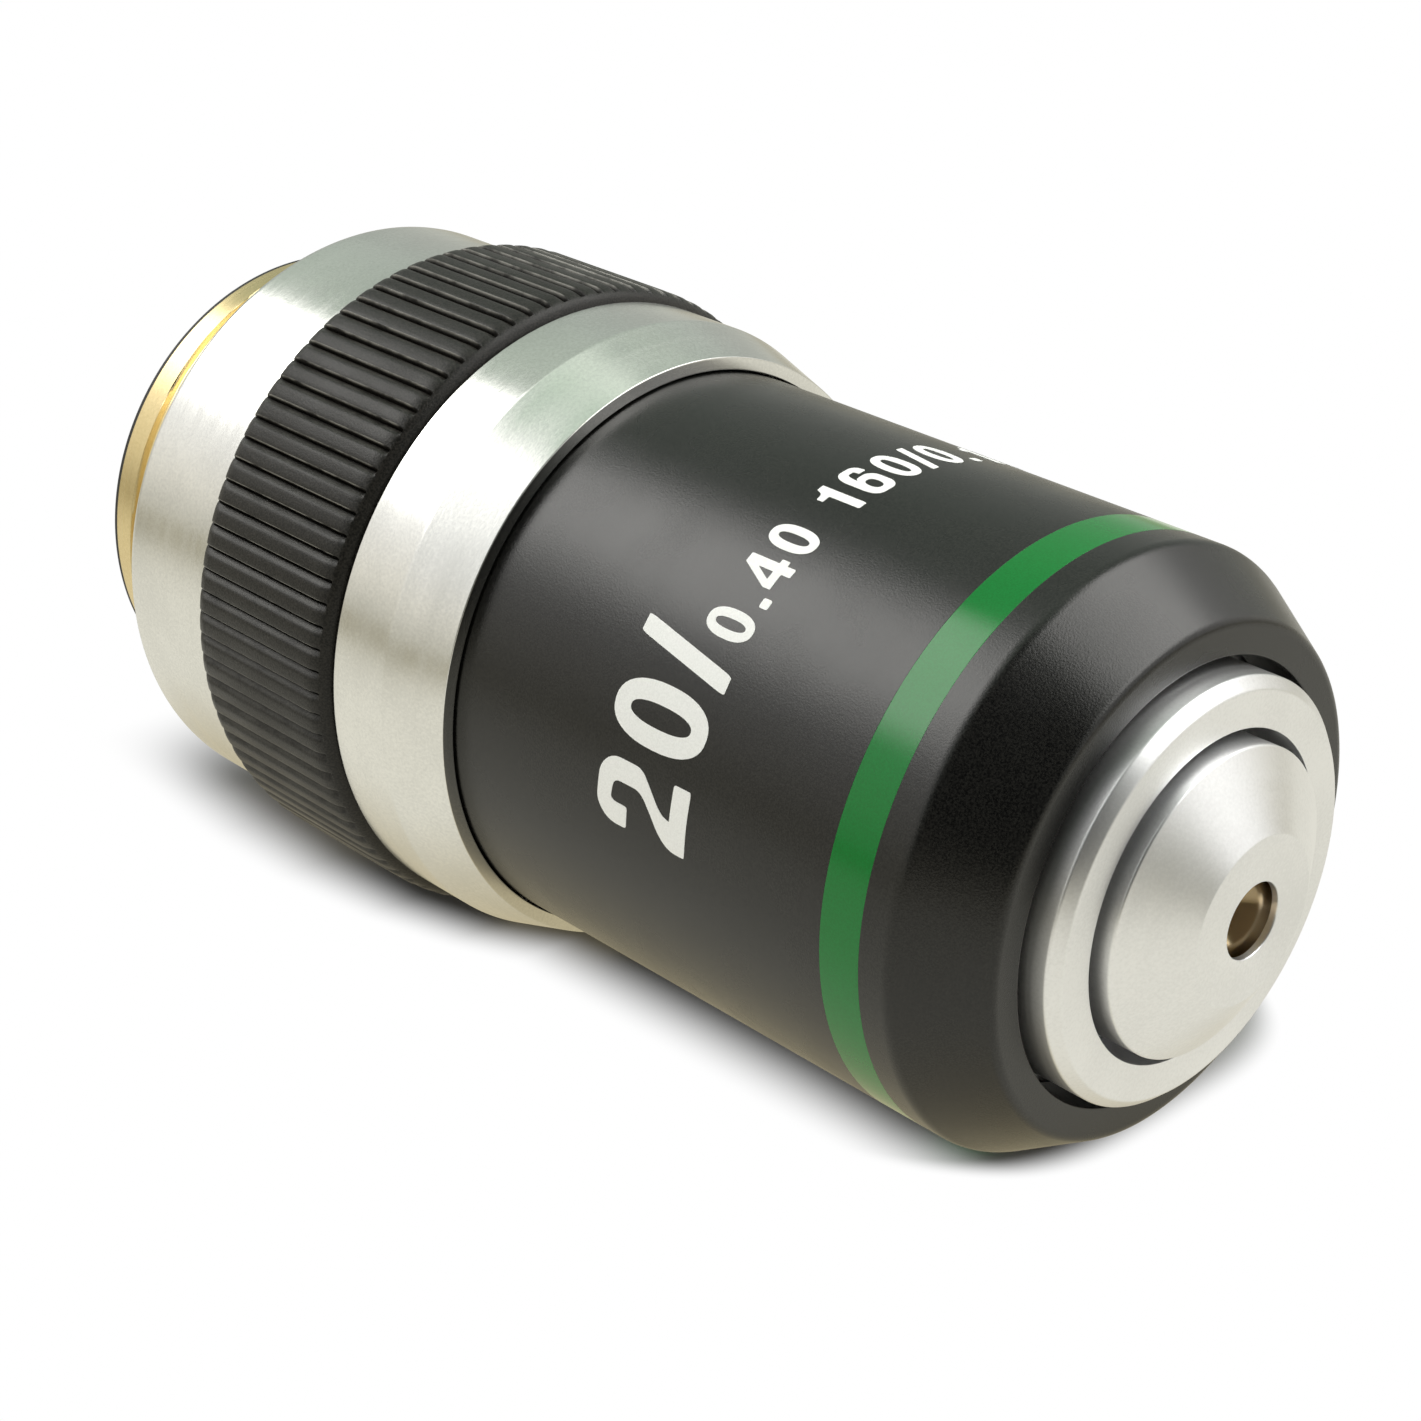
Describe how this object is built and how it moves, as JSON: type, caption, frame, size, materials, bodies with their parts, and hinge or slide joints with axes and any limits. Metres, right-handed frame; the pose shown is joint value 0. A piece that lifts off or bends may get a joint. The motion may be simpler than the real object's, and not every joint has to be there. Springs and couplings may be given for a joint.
{
  "type": "microscope objective",
  "caption": "Cylindrical microscope objective with a threaded mount, a knurled grip ring, a coloured band and a sprung nose that carries the lens stack.",
  "frame": {"origin": "centre of the end face behind the mounting thread, on which the objective stands", "axes": "+Z along the optical axis, from the mounting thread towards the nose; -Y is the side that the picture shows most squarely"},
  "size_m": [0.0242, 0.0242, 0.0475],
  "materials": {
    "thread_brass": "turned brass, bright",
    "satin_nickel": "satin plate over fine turning marks",
    "sleeve_black": "semi-matt black paint with a fine grain",
    "grip_black": "matt black paint over the knurling",
    "band_green": "green enamel",
    "numeral_white": "white filled numerals",
    "cell_black": "matt black anodised",
    "spring_steel": "bright drawn wire and turned steel",
    "coated_glass": "polished and coated"
  },
  "bodies": {
    "housing": {"mount_barrel": "thread_brass", "shoulder_ring": "satin_nickel", "rear_shell": "satin_nickel", "grip_ring": "grip_black", "parfocal_shim": "thread_brass", "front_sleeve": "sleeve_black", "colour_band": "band_green", "guide_screw": "spring_steel", "spring_seat_rear": "thread_brass", "return_spring": "spring_steel"},
    "nose": {"spring_seat_front": "thread_brass", "nose_barrel": "satin_nickel", "front_cell": "satin_nickel", "front_lens": "coated_glass", "front_spacer": "cell_black", "middle_cell": "cell_black", "middle_flint": "coated_glass", "middle_crown": "coated_glass", "middle_retainer": "cell_black", "rear_spacer": "cell_black", "rear_cell": "cell_black", "rear_flint": "coated_glass", "rear_crown": "coated_glass", "rear_retainer": "cell_black", "pupil_stop": "cell_black", "stack_lock_ring": "cell_black"}
  },
  "joints": [
    {"name": "nose_slide", "type": "slide", "parent": "housing", "child": "nose", "axis": [0, 0, -1], "range_m": [0, 0.0025], "stiffness_N_per_m": 400, "springref_m": -0.0025, "deforming": ["return_spring"]}
  ]
}
